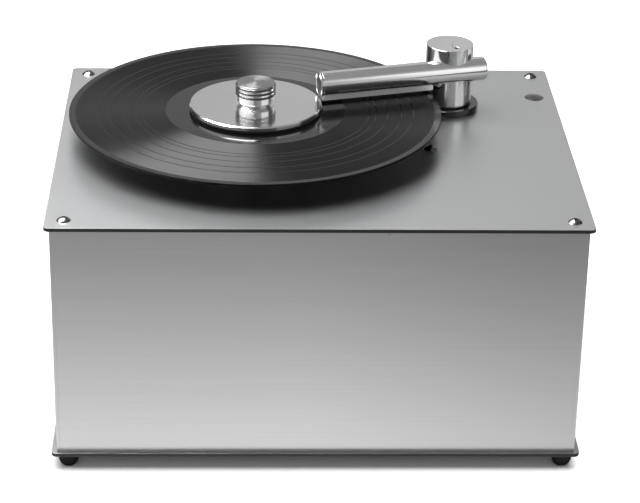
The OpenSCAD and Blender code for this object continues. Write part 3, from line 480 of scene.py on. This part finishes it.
def roundedProfile(corners, arcSteps=5):
    # Each corner is (radius, height, rounding) in millimetres. A rounded corner becomes an arc that is tangent
    # to both sides: its centre is rounding / sin(half) away from the corner, and it starts rounding / tan(half)
    # before it.
    spots = np.array([(r, h) for r, h, _ in corners], float) * mm
    parts = []
    for i, (_, _, rounding) in enumerate(corners):
        before = spots[i - 1] - spots[i]
        after = spots[(i + 1) % len(spots)] - spots[i]
        if rounding == 0:
            parts.append(spots[i:i + 1])
            continue
        before, after = before / np.linalg.norm(before), after / np.linalg.norm(after)
        half = math.acos(np.clip(before @ after, -1, 1)) / 2
        middle = (before + after) / np.linalg.norm(before + after)
        centre = spots[i] + middle * rounding * mm / math.sin(half)
        reach = rounding * mm / math.tan(half)
        start, end = spots[i] + before * reach - centre, spots[i] + after * reach - centre
        turn = math.atan2(start[0] * end[1] - start[1] * end[0], start @ end)
        angle = math.atan2(start[1], start[0]) + turn * np.linspace(0, 1, arcSteps + 1)
        parts.append(centre + rounding * mm * np.stack([np.cos(angle), np.sin(angle)], 1))
    return np.concatenate(parts)


def keepFlats(piece):
    # Wide flats keep their own normals, and the narrow roundings take up the bend
    flats = piece.modifiers.new("flats", "WEIGHTED_NORMAL")
    flats.keep_sharp = True


def turnedPiece(name, profile, origin, axis=(0, 0, 1), around=192, ring=False):
    # point(i, j) = origin + radius i (cos a j, sin a j) + height i along the axis. A ring's profile is a closed
    # loop, and any other starts and ends on the axis, where each end is a single point.
    count = len(profile)
    angle = np.linspace(0, 2 * math.pi, around, endpoint=False)
    radius, height = profile[:, 0], profile[:, 1]
    grid = np.stack([
        radius[:, None] * np.cos(angle), radius[:, None] * np.sin(angle),
        height[:, None] * np.ones(around),
    ], -1)
    turn = np.array(Vector((0, 0, 1)).rotation_difference(Vector(axis)).to_matrix())
    i, j = np.meshgrid(np.arange(count if ring else count - 1), np.arange(around), indexing="ij")
    nextI, nextJ = (i + 1) % count, (j + 1) % around
    if ring:
        points = grid.reshape(-1, 3)
        quads = [i * around + j, i * around + nextJ, nextI * around + nextJ, nextI * around + j]
        faces = np.stack(quads, -1).reshape(-1, 4).tolist()
    else:
        points = np.concatenate([grid[:1, 0], grid[1:-1].reshape(-1, 3), grid[-1:, 0]])
        at = np.where(i == 0, 0, 1 + (i - 1) * around + j)
        right = np.where(i == 0, 0, 1 + (i - 1) * around + nextJ)
        last = len(points) - 1
        above = np.where(nextI == count - 1, last, 1 + (nextI - 1) * around + j)
        aboveRight = np.where(nextI == count - 1, last, 1 + (nextI - 1) * around + nextJ)
        body = np.stack([at, right, aboveRight, above], -1)
        faces = body[1:-1].reshape(-1, 4).tolist()
        faces += np.stack([at[0], aboveRight[0], above[0]], -1).tolist()
        faces += np.stack([at[-1], right[-1], above[-1]], -1).tolist()
    mesh = bpy.data.meshes.new(name)
    mesh.from_pydata((points @ turn.T + np.array(origin)).tolist(), [], faces)
    mesh.shade_smooth()
    mesh.set_sharp_from_angle(angle=sharpAngle)
    piece = bpy.data.objects.new(name, mesh)
    bpy.context.scene.collection.objects.link(piece)
    keepFlats(piece)
    return piece


def radiusAndHeight(node):
    low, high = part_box(node)
    return (high.x - low.x) / 2 / mm, (high.z - low.z) / mm


# Gives a finished piece its finishes and its body, and hides the CAD node it stands for
def fit(piece, node, body, slot, *finishes):
    dress(piece, *finishes)
    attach(piece, body)
    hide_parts(node)


# The record: a rolled rim, a grooved band with gaps between its tracks, and a plain label
recordSettings = {
    "holeRadius": 3.6, "labelRadius": 50.0, "runOutRadius": 72.8, "grooveRadius": 145.3,
    "sink": 0.2, "rimSink": 0.02, "labelStep": 1.5, "rimStep": 1.4,
    "holeRounding": 0.15, "stepRounding": 0.5, "rollRounding": 1.0, "rimRounding": 0.3,
    "holeMargin": 0.5, "rimWall": 0.2, "around": 360,
}


def makeRecord(settings):
    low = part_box("record")[0]
    rim, thick = radiusAndHeight("record")
    hole, label = settings["holeRadius"], settings["labelRadius"]
    runOut, groove, sink = settings["runOutRadius"], settings["grooveRadius"], settings["sink"]
    soft = settings["stepRounding"]
    under = [
        (hole, 0, settings["holeRounding"]), (label, 0, soft), (label + settings["labelStep"], sink, soft),
        (runOut, sink, 0), (groove, sink, 0),
        (groove + settings["rimStep"], settings["rimSink"], settings["rollRounding"]),
        (rim, 0, settings["rimRounding"]),
    ]
    over = [(r, thick - h, rounding) for r, h, rounding in reversed(under)]
    profile = roundedProfile(under + over)
    place = (recordMiddle.x, recordMiddle.y, low.z)
    piece = turnedPiece("recordDisc", profile, place, around=settings["around"], ring=True)
    fit(piece, "record", "turning_support", "vinyl", "smoothVinyl", "groovedVinyl", "labelPaper", "rimVinyl")
    smooth, grooved, paper, wall = range(4)
    middle = (profile[:, 0] + np.roll(profile[:, 0], -1)) / 2 / mm
    zone = np.where((middle > runOut) & (middle < groove), grooved, smooth)
    zone = np.where((middle < label) & (middle > hole + settings["holeMargin"]), paper, zone)
    zone = np.where(middle > rim - settings["rimWall"], wall, zone)
    zones = np.repeat(zone, settings["around"]).astype(np.int32)
    piece.data.polygons.foreach_set("material_index", zones)


# The clamp's disc, with a narrow chamfer along its top edge
clampDiscSettings = {"bore": 6.0, "edge": 0.1, "slope": 0.9, "around": 288}


def makeClampDisc(settings):
    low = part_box("clamp_disc")[0]
    radius, thick = radiusAndHeight("clamp_disc")
    bore, edge, slope = settings["bore"], settings["edge"], settings["slope"]
    profile = roundedProfile([
        (bore, 0, 0), (radius, 0, edge), (radius, thick - slope, edge),
        (radius - slope, thick, edge), (bore, thick, 0),
    ])
    place = (recordMiddle.x, recordMiddle.y, low.z)
    piece = turnedPiece("clampDisc", profile, place, around=settings["around"], ring=True)
    fit(piece, "clamp_disc", "clamp", "turned_aluminium", "turnedFace")


# The clamp's grip, turned from one bar: spigot, cone, straight core, three thin grip rings and a shallow crown
knobSettings = {
    "bore": 3.65, "boreDepth": 14.0, "spigot": 6.0, "foot": 12.6, "core": 15.4, "coneEnd": 3.0,
    "ringStart": 7.9, "ringHeight": 1.7, "ringPitch": 3.45, "rings": 3,
    "coreEnd": 17.9, "crownStart": 15.0, "crownStep": 0.05, "crownFrom": 17.0,
    "soft": 0.3, "mouthRounding": 0.2, "sharp": 0.1, "coneRounding": 0.8,
    "ringRounding": 0.4, "rootRounding": 0.08, "ringMargin": 0.3, "around": 256,
}


def crownFaces(zone, around):
    # The first and last rows of a turned piece are fans, whose faces come last
    body = np.repeat(zone[1:-1], around)
    return np.concatenate([body, np.repeat(zone[[0, -1]], around)]).astype(np.int32)


def makeClampKnob(settings):
    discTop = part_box("clamp_disc")[1].z
    low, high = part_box("clamp_knob")
    radius = radiusAndHeight("clamp_knob")[0]
    foot, top = (low.z - discTop) / mm, (high.z - discTop) / mm
    bore, boreTop = settings["bore"], foot + settings["boreDepth"]
    core, coreEnd = settings["core"], settings["coreEnd"]
    soft, sharp, root = settings["soft"], settings["sharp"], settings["rootRounding"]
    corners = [
        (0, boreTop, 0), (bore, boreTop, soft), (bore, foot, settings["mouthRounding"]),
        (settings["spigot"], foot, soft), (settings["spigot"], 0, 0), (settings["foot"], 0, sharp),
        (core, settings["coneEnd"], settings["coneRounding"]),
    ]
    for i in range(settings["rings"]):
        start = settings["ringStart"] + i * settings["ringPitch"]
        end = start + settings["ringHeight"]
        edge = settings["ringRounding"]
        corners += [(core, start, root), (radius, start, edge), (radius, end, edge), (core, end, root)]
    corners += [
        (core, coreEnd, soft), (settings["crownStart"], coreEnd + settings["crownStep"], sharp), (0, top, 0),
    ]
    profile = roundedProfile(corners, arcSteps=6)
    place = (recordMiddle.x, recordMiddle.y, discTop)
    piece = turnedPiece("clampKnob", profile, place, around=settings["around"])
    fit(piece, "clamp_knob", "clamp", "polished_aluminium", "turnedBar", "paintedShadeCrown", "paintedShadeRing")
    bar, crown, ring = range(3)
    lower, upper = profile[:-1] / mm, profile[1:] / mm
    # Faces inside the core and high up are the crown, which takes the darker crown finish: painted shade
    inside = np.maximum(lower[:, 0], upper[:, 0]) < core
    raised = np.minimum(lower[:, 1], upper[:, 1]) > settings["crownFrom"]
    # Faces outside the core are the grip rings, which take the near-black ring finish: painted shade
    outside = lower[:, 0] + upper[:, 0] > 2 * core + settings["ringMargin"]
    zone = np.where(outside, ring, np.where(inside & raised, crown, bar))
    piece.data.polygons.foreach_set("material_index", crownFaces(zone, settings["around"]))


# The rubber ring under the clamp's disc
clampSealSettings = {"inside": 44.5, "footRounding": 0.5, "insideRounding": 0.4, "topRounding": 0.3}


def makeClampSeal(settings):
    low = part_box("clamp_seal")[0]
    radius, thick = radiusAndHeight("clamp_seal")
    inside, edge = settings["inside"], settings["topRounding"]
    profile = roundedProfile([
        (inside, 0, settings["insideRounding"]), (radius, 0, settings["footRounding"]),
        (radius, thick, edge), (inside, thick, edge),
    ])
    place = (recordMiddle.x, recordMiddle.y, low.z)
    piece = turnedPiece("clampSealRing", profile, place, ring=True)
    fit(piece, "clamp_seal", "clamp", "black_rubber", "blackRubber")


# The arm: a tube closed and rounded at its tail, a dished plug in its tip and a column with a saddle.
# Along the arm, measures start at the column's axis and grow toward the tip.
armSettings = {
    "tubeRadius": 10.0, "wall": 1.9, "tailReach": 26.5, "tipReach": 117.6, "offset": 12.4, "axisHeight": 245.5,
    "tailRounding": 2.0, "tailThickness": 4.0, "tailInside": 0.4, "mouthRounding": 0.12,
    "plugFlange": 2.0, "around": 192,
}
plugSettings = {
    "length": 9.0, "rootRounding": 0.3, "rimRounding": 0.25,
    "groove": (8.75, 8.6, 8.45, 8.3), "grooveDepth": 0.35, "grooveEdge": 0.08, "grooveRoot": 0.05,
    "lip": 7.6, "lipRounding": 0.1, "mouth": 7.5, "dishCurve": 24.0, "dishSink": 0.1, "dishSteps": 14,
}
columnSettings = {
    "radius": 19.5, "riser": 8.0, "riserTop": 249.5, "seat": 14.0, "seatRadius": 14.0, "edge": 0.2,
    "saddleOverlap": 0.05, "screwRadius": 3.0, "screwAlong": -1.5, "screwAcross": 11.0,
    "cutReach": 40.0, "around": 288, "screwAround": 48,
}
towardTip = (-armLine[0], -armLine[1], 0)


def armPoint(along, across, height):
    side = (-armLine[1], armLine[0])
    return (
        columnMiddle.x - (armLine[0] * along + side[0] * across) * mm,
        columnMiddle.y - (armLine[1] * along + side[1] * across) * mm,
        height * mm,
    )


def makeTube(settings):
    radius, bore = settings["tubeRadius"], settings["tubeRadius"] - settings["wall"]
    tail, tip = -settings["tailReach"], settings["tipReach"] - settings["plugFlange"]
    floor, mouth = tail + settings["tailThickness"], settings["mouthRounding"]
    profile = roundedProfile([
        (0, tail, 0), (radius, tail, settings["tailRounding"]), (radius, tip, mouth),
        (bore, tip, mouth), (bore, floor, settings["tailInside"]), (0, floor, 0),
    ], arcSteps=8)
    place = armPoint(0, settings["offset"], settings["axisHeight"])
    piece = turnedPiece("armTube", profile, place, towardTip, settings["around"])
    fit(piece, "arm_tube", "arm", "polished_aluminium", "polishedTube")


def makePlug(settings, arm):
    # The dish is part of a sphere: at the angle a it is curve (cos a - cos a0) deep and curve sin a wide
    radius, bore, tip = arm["tubeRadius"], arm["tubeRadius"] - arm["wall"], arm["tipReach"]
    curve = settings["dishCurve"]
    dishAngle = np.linspace(math.asin(settings["mouth"] / curve), 0, settings["dishSteps"])
    sink = curve * (np.cos(dishAngle) - math.cos(dishAngle[0])) + settings["dishSink"]
    dish = np.stack([curve * np.sin(dishAngle), tip - sink], 1) * mm
    start, seat, root = tip - settings["length"], tip - arm["plugFlange"], settings["rootRounding"]
    edge, low, floor = settings["grooveEdge"], settings["grooveRoot"], tip - settings["grooveDepth"]
    grooves = settings["groove"]
    rim = roundedProfile([
        (0, start, 0), (bore, start, root), (bore, seat, 0), (radius, seat, root),
        (radius, tip, settings["rimRounding"]),
        (grooves[0], tip, edge), (grooves[1], floor, low), (grooves[2], floor, low), (grooves[3], tip, edge),
        (settings["lip"], tip, settings["lipRounding"]),
    ], arcSteps=6)
    profile = np.concatenate([rim, dish])
    place = armPoint(0, arm["offset"], arm["axisHeight"])
    piece = turnedPiece("tubePlug", profile, place, towardTip, arm["around"])
    fit(piece, "tube_plug", "arm", "polished_aluminium", "plugMetal")


def carve(piece, cutter):
    # Takes the cutter's body out of the piece's own mesh, and does away with the cutter
    piece.modifiers.clear()
    cut = piece.modifiers.new("cut", "BOOLEAN")
    cut.operation, cut.solver, cut.object = "DIFFERENCE", "EXACT", cutter
    bpy.context.view_layer.update()
    evaluated = piece.evaluated_get(bpy.context.evaluated_depsgraph_get())
    shaped = bpy.data.meshes.new_from_object(evaluated)
    shaped.set_sharp_from_angle(angle=sharpAngle)
    piece.modifiers.remove(cut)
    piece.data = shaped
    bpy.data.objects.remove(cutter)
    keepFlats(piece)


def makeColumn(settings, arm):
    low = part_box("arm_column")[0]
    tall, riserTop = radiusAndHeight("arm_column")[1], settings["riserTop"] - low.z / mm
    radius, riser, edge = settings["radius"], settings["riser"], settings["edge"]
    seat, seatRadius = settings["seat"], settings["seatRadius"]
    profile = roundedProfile([
        (0, riserTop, 0), (riser, riserTop, edge), (riser, seat, edge), (seatRadius, seat, edge),
        (seatRadius, 0, edge), (radius, 0, edge), (radius, tall, edge), (0, tall, 0),
    ])
    place = (columnMiddle.x, columnMiddle.y, low.z)
    piece = turnedPiece("armColumn", profile, place, around=settings["around"])
    reach, saddle = settings["cutReach"], arm["tubeRadius"] - settings["saddleOverlap"]
    bar = np.array([(0, -reach), (saddle, -reach), (saddle, reach), (0, reach)]) * mm
    place = armPoint(0, arm["offset"], arm["axisHeight"])
    carve(piece, turnedPiece("saddle", bar, place, towardTip))
    screw = settings["screwRadius"]
    hole = np.array([(0, 0), (screw, 0), (screw, reach), (0, reach)]) * mm
    place = armPoint(settings["screwAlong"], settings["screwAcross"], arm["axisHeight"])
    carve(piece, turnedPiece("screwHole", hole, place, around=settings["screwAround"]))
    fit(piece, "arm_column", "arm", "polished_aluminium", "turnedColumn")


makeTube(armSettings)
makePlug(plugSettings, armSettings)
makeColumn(columnSettings, armSettings)
print("arm made")

makeRecord(recordSettings)
makeClampDisc(clampDiscSettings)
makeClampKnob(knobSettings)
makeClampSeal(clampSealSettings)
print("record and clamp made")


# Breaks the edges of a CAD part's own mesh, which stays as it is under the modifiers
edgeSettings = {"weld": 0.002, "flatDegrees": 0.8, "segments": 2, "edgeDegrees": 32}


def breakEdges(node, width, settings):
    piece = nodes[node]
    weld = piece.modifiers.new("merge", "WELD")
    weld.merge_threshold = settings["weld"] * mm
    flat = piece.modifiers.new("flat", "DECIMATE")
    flat.decimate_type = "DISSOLVE"
    flat.angle_limit = math.radians(settings["flatDegrees"])
    bevel = piece.modifiers.new("edges", "BEVEL")
    bevel.width = width * mm
    bevel.segments = settings["segments"]
    bevel.limit_method = "ANGLE"
    bevel.angle_limit = math.radians(settings["edgeDegrees"])
    bevel.harden_normals = True


edgeWidths = {
    "deck_plate": 0.2, "base_plate": 0.18, "front_panel": 0.3, "back_panel": 0.3, "left_panel": 0.3,
    "right_panel": 0.3, "arm_flange": 0.5, "nozzle_rail": 0.3, "mains_inlet": 0.25, "drain_valve": 0.25,
    "drain_lever": 0.4, "motor_switch": 0.3, "vacuum_switch": 0.3, "motor_rocker": 0.4, "vacuum_rocker": 0.4,
}
for node, width in edgeWidths.items():
    breakEdges(node, width, edgeSettings)
print("edges broken:", len(edgeWidths))


# Floor, sky, one wide lamp overhead that only dull surfaces see, and the cards that only reflections see
white = (1, 1, 1, 1)
stageSettings = {
    "floorSize": 24.0,
    "floorShade": 0.85,
    "floorContrast": 0.985,
    "floorGrain": 3.0,
    "skyToCamera": 1.05,
    "skyLow": 0.80,
    "skyHigh": 0.30,
    "skyBelow": 0.03,
    "skyFade": (0.50, 0.80),
    "lampSide": 6.0,
    "lampPlace": (0.0, 0.2, 5.0),
    "lampWatts": 700.0,
}

# Each card: its four corners, and for one or two axes the reach and the radiance, or its share, at both ends.
# An even card has the same radiance at both. All measures are in metres.
cardSettings = {
    "frontFloor": {
        "corners": ((-3.0, -0.177, 0.003), (3.0, -0.177, 0.003), (3.0, -1.30, 0.003), (-3.0, -1.30, 0.003)),
        "fades": (("Y", -0.22, -0.62, 1.03, 0.23), ("X", 0.0, 0.22, 1.0, 0.76)),
    },
    "leftFloor": {
        "corners": (
            (-0.22, -0.177, 0.003), (-0.22, 0.160, 0.003), (-1.60, 0.160, 0.003), (-1.60, -0.177, 0.003),
        ),
        "fades": (("X", -0.26, -0.70, 0.9, 0.3),),
    },
    "rightFloor": {
        "corners": ((0.22, -0.177, 0.003), (0.22, 0.160, 0.003), (1.60, 0.160, 0.003), (1.60, -0.177, 0.003)),
        "fades": (("X", 0.26, 0.70, 0.9, 0.3),),
    },
    "backFloor": {
        "corners": ((-3.0, 0.165, 0.003), (3.0, 0.165, 0.003), (3.0, 1.60, 0.003), (-3.0, 1.60, 0.003)),
        "fades": (("Y", 0.20, 0.62, 0.9, 0.3),),
    },
    "overheadBox": {
        "corners": ((-1.60, -0.40, 1.50), (-0.045, -0.40, 1.50), (-0.045, 0.80, 1.50), (-1.60, 0.80, 1.50)),
        "fades": (("Y", -0.4, 0.8, 25.0, 25.0),),
    },
    "frontLeftBox": {
        "corners": ((-1.90, -1.95, 0.25), (-0.46, -1.95, 0.25), (-0.46, -1.95, 1.90), (-1.90, -1.95, 1.90)),
        "fades": (("X", -1.9, -0.46, 1.25, 0.7),),
    },
    "leftBox": {
        "corners": ((-1.92, -1.95, 0.25), (-1.92, 0.90, 0.25), (-1.92, 0.90, 1.90), (-1.92, -1.95, 1.90)),
        "fades": (("Z", 0.25, 1.9, 1.3, 1.3),),
    },
    "frontDark": {
        "corners": ((-0.46, -1.96, 0.05), (1.44, -1.96, 0.05), (1.44, -1.96, 2.30), (-0.46, -1.96, 2.30)),
        "fades": (("X", -0.46, 1.3, 0.17, 0.40),),
    },
    "frontRightBox": {
        "corners": ((1.44, -1.96, 0.15), (1.90, -1.96, 0.15), (1.90, -1.96, 2.10), (1.44, -1.96, 2.10)),
        "fades": (("Z", 0.15, 2.1, 1.35, 1.35),),
    },
    "rightBox": {
        "corners": ((1.85, -1.85, 0.25), (1.85, -0.20, 0.25), (1.85, -0.20, 1.90), (1.85, -1.85, 1.90)),
        "fades": (("Z", 0.25, 1.9, 1.1, 1.1),),
    },
    "leftDark": {
        "corners": ((-1.94, 0.90, 0.10), (-1.94, 2.95, 0.10), (-1.94, 2.95, 2.00), (-1.94, 0.90, 2.00)),
        "fades": (("Z", 0.1, 2.0, 0.10, 0.10),),
    },
    "rightDark": {
        "corners": ((1.87, -0.20, 0.10), (1.87, 1.60, 0.10), (1.87, 1.60, 2.00), (1.87, -0.20, 2.00)),
        "fades": (("Z", 0.1, 2.0, 0.10, 0.10),),
    },
    "backWall": {
        "corners": ((-1.9, 3.0, 0.4), (1.9, 3.0, 0.4), (1.9, 3.0, 3.4), (-1.9, 3.0, 3.4)),
        "fades": (("X", -0.45, 0.65, 0.50, 0.60),),
    },
}


def quad(name, corners, material):
    mesh = bpy.data.meshes.new(name)
    mesh.from_pydata([tuple(c) for c in corners], [], [(0, 1, 2, 3)])
    mesh.materials.append(material)
    piece = bpy.data.objects.new(name, mesh)
    bpy.context.scene.collection.objects.link(piece)
    return piece


def makeFloor(settings):
    half = settings["floorSize"] / 2
    material, steps = newMaterial("paleFloor")
    grain = steps.noise(steps.place(), settings["floorGrain"], 2.0)
    shade = settings["floorShade"]
    colour = steps.mixColour(grain, grey(shade * settings["floorContrast"]), grey(shade))
    steps.finish(baseColor=colour, roughness=0.9, specular=0.1)
    corners = [(-half, -half, 0), (half, -half, 0), (half, half, 0), (-half, half, 0)]
    floor = quad("floor", corners, material)
    floor.visible_glossy = False


def makeLamp(settings):
    data = bpy.data.lights.new("overheadLamp", "AREA")
    data.shape = "SQUARE"
    data.size = settings["lampSide"]
    data.energy = settings["lampWatts"]
    lamp = bpy.data.objects.new("overheadLamp", data)
    bpy.context.scene.collection.objects.link(lamp)
    lamp.location = settings["lampPlace"]
    lamp.visible_glossy = False
    lamp.visible_camera = False


def makeSky(settings):
    world = bpy.data.worlds.new("sky")
    bpy.context.scene.world = world
    world.use_nodes = True
    steps = Steps(world.node_tree)
    world.node_tree.nodes.clear()
    path = steps.add("ShaderNodeLightPath")
    height = steps.split(steps.add("ShaderNodeTexCoord").outputs["Generated"])[2]
    over = steps.spread(height, settings["skyLow"], settings["skyHigh"], *settings["skyFade"])
    isOver = steps.math("GREATER_THAN", height, 0.0)
    toPieces = steps.spread(isOver, settings["skyBelow"], over, 0, 1)
    strength = steps.spread(path.outputs["Is Camera Ray"], toPieces, settings["skyToCamera"], 0, 1)
    light = steps.add("ShaderNodeBackground", {"Color": white, "Strength": strength})
    out = steps.add("ShaderNodeOutputWorld")
    world.node_tree.links.new(light.outputs[0], out.inputs[0])


def makeCard(name, settings):
    material, steps = newMaterial(name + "Glow")
    places = dict(zip("XYZ", steps.split(steps.place())))
    glow = 1.0
    for axis, start, end, first, last in settings["fades"]:
        glow = steps.math("MULTIPLY", steps.spread(places[axis], first, last, start, end), glow)
    light = steps.add("ShaderNodeEmission", {"Color": white, "Strength": glow})
    out = steps.add("ShaderNodeOutputMaterial")
    steps.tree.links.new(light.outputs[0], out.inputs[0])
    piece = quad(name, settings["corners"], material)
    piece.visible_camera = False
    piece.visible_diffuse = False
    piece.visible_shadow = False


makeFloor(stageSettings)
makeLamp(stageSettings)
makeSky(stageSettings)
for name, settings in cardSettings.items():
    makeCard(name, settings)
bpy.context.scene.view_settings.view_transform = "Standard"
bpy.context.scene.view_settings.look = "None"
print("stage made")
